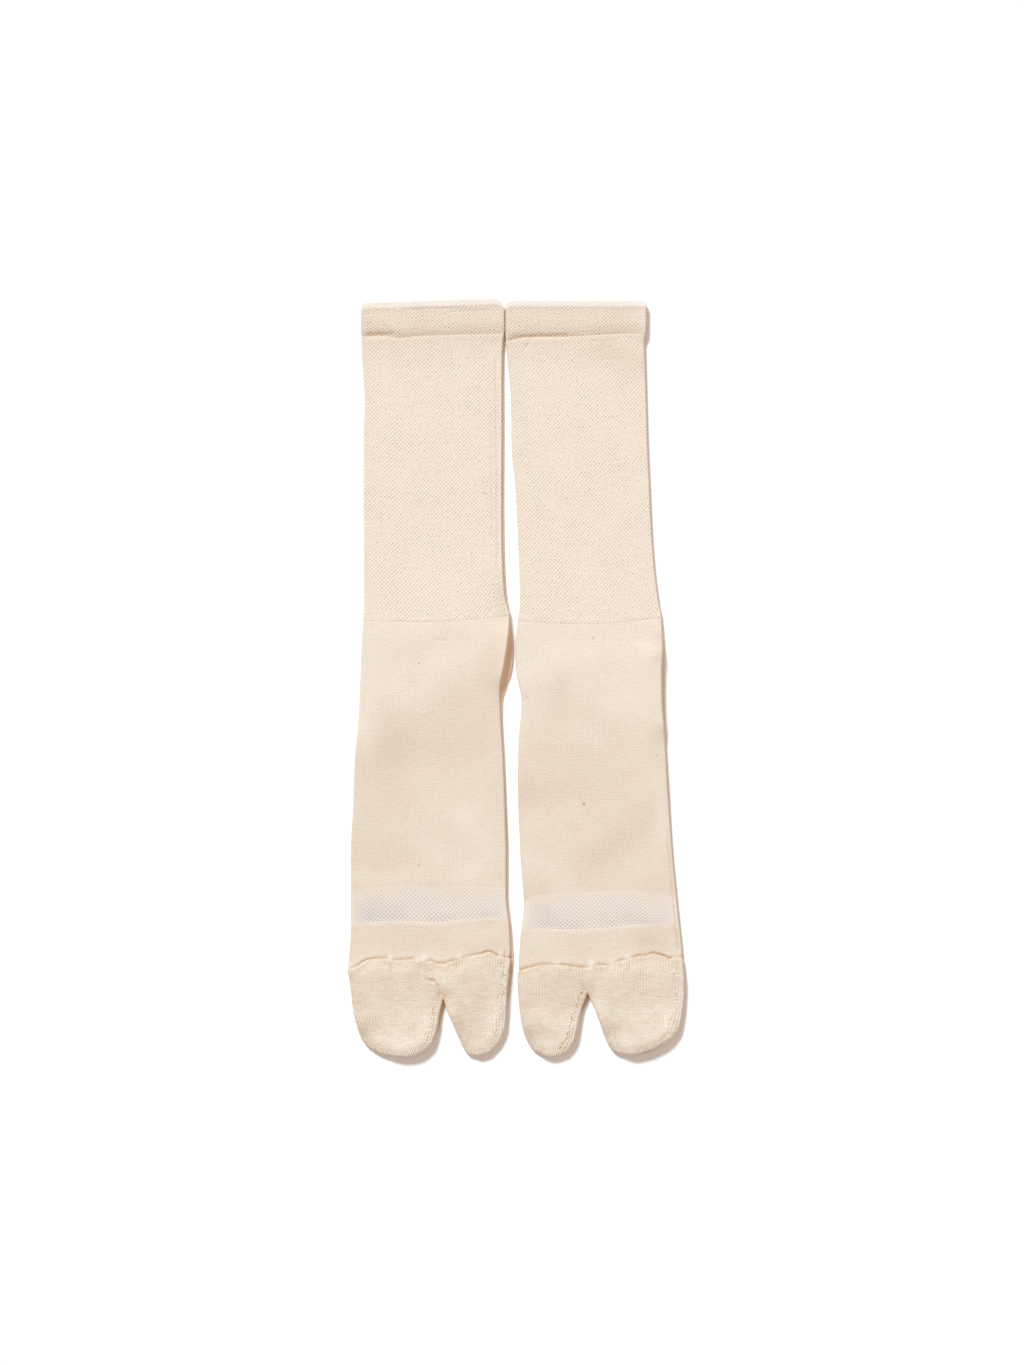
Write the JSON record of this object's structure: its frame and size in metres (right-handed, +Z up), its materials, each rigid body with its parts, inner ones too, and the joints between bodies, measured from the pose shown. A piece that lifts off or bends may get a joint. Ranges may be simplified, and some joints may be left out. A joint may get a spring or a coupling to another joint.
{
  "type": "pair of tabi socks",
  "caption": "Pair of cream knitted split-toe socks laid flat side by side, instep up: turned welt, openwork leg, plain foot, mesh band across the instep and terry toe ends.",
  "frame": {"origin": "on the floor, under the centre of the pair's bounding box", "axes": "+Z up from the floor through the cloth, +Y along the socks from the toes to the cuffs, +X towards the left foot's sock"},
  "size_m": [0.2013, 0.4547, 0.0065],
  "materials": {
    "cotton_knit": "undyed cream cotton knit, matt, with fine wales",
    "terry_knit": "thick cream cotton terry knit, matt, with broad wales",
    "mesh_yarn": "white open mesh knit, matt"
  },
  "bodies": {
    "root": {"right_welt": "cotton_knit", "right_leg": "cotton_knit", "right_foot": "cotton_knit", "right_instep_mesh_band": "mesh_yarn", "right_toes": "terry_knit", "left_welt": "cotton_knit", "left_leg": "cotton_knit", "left_foot": "cotton_knit", "left_instep_mesh_band": "mesh_yarn", "left_toes": "terry_knit"}
  },
  "joints": []
}
